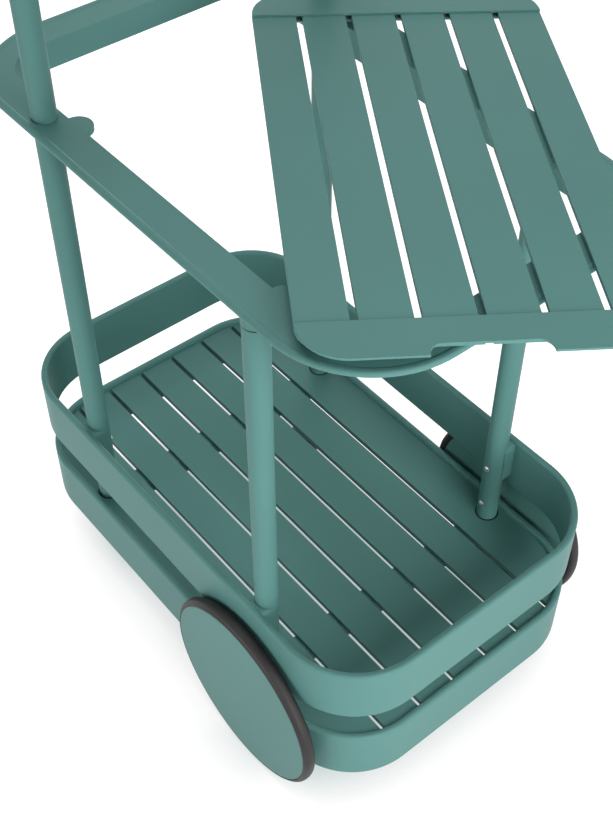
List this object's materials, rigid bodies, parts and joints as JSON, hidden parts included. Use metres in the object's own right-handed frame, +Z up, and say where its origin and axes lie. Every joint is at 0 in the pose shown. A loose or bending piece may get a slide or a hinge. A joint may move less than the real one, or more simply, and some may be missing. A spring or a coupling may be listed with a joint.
{
  "type": "serving trolley",
  "caption": "Serving trolley with a slatted basket, a push handle, side wheels and a loose slatted tray lying turned across the open top frame.",
  "frame": {"origin": "on the floor under the middle of the whole object's bounding box, with the loose tray as it lies", "axes": "+X along the basket towards the wheel end, +Y to the left of a person pushing it, +Z up"},
  "size_m": [0.8046, 0.6057, 0.959],
  "materials": {
    "coat": "matt powder coat",
    "steel": "satin",
    "tyre": "matt",
    "foot": "matt"
  },
  "bodies": {
    "frame": {"upper_band": "coat", "lower_band": "coat", "floor_slat_1": "coat", "floor_slat_2": "coat", "floor_slat_3": "coat", "floor_slat_4": "coat", "floor_slat_5": "coat", "floor_slat_6": "coat", "floor_slat_7": "coat", "front_cross_tube": "coat", "rear_cross_tube": "coat", "front_left_post": "coat", "front_right_post": "coat", "rear_left_post": "coat", "rear_right_post": "coat", "push_handle": "coat", "left_leg": "coat", "right_leg": "coat", "front_left_upper_saddle": "coat", "front_right_upper_saddle": "coat", "rear_left_upper_saddle": "coat", "rear_right_upper_saddle": "coat", "front_left_lower_saddle": "coat", "front_right_lower_saddle": "coat", "rear_left_lower_saddle": "coat", "rear_right_lower_saddle": "coat", "top_frame": "coat", "front_left_sleeve": "coat", "front_right_sleeve": "coat", "rear_left_sleeve": "coat", "rear_right_sleeve": "coat", "front_left_rest": "coat", "front_right_rest": "coat", "rear_left_rest": "coat", "rear_right_rest": "coat", "axle": "steel", "left_axle_nut": "steel", "right_axle_nut": "steel", "front_left_screws": "steel", "front_right_screws": "steel", "rear_left_screws": "steel", "rear_right_screws": "steel", "left_foot": "foot", "right_foot": "foot"},
    "left_wheel": {"left_wheel_core": "coat", "left_wheel_cover": "coat", "left_tyre": "tyre"},
    "right_wheel": {"right_wheel_core": "coat", "right_wheel_cover": "coat", "right_tyre": "tyre"},
    "tray": {"tray_slat_1": "coat", "tray_slat_2": "coat", "tray_slat_3": "coat", "tray_slat_4": "coat", "tray_slat_5": "coat", "tray_slat_6": "coat", "tray_near_border": "coat", "tray_far_border": "coat", "tray_near_batten": "coat", "tray_far_batten": "coat"}
  },
  "joints": [
    {"name": "left_wheel_spin", "type": "hinge", "parent": "frame", "child": "left_wheel", "pos_m": [0.13021, 0.16418, 0.132], "axis": [0, 1, 0], "continuous": true},
    {"name": "right_wheel_spin", "type": "hinge", "parent": "frame", "child": "right_wheel", "pos_m": [0.13021, -0.29382, 0.132], "axis": [0, 1, 0], "continuous": true},
    {"name": "tray_lift", "type": "slide", "parent": "frame", "child": "tray", "axis": [0, 0, 1], "range_m": [0, 0.115]}
  ]
}
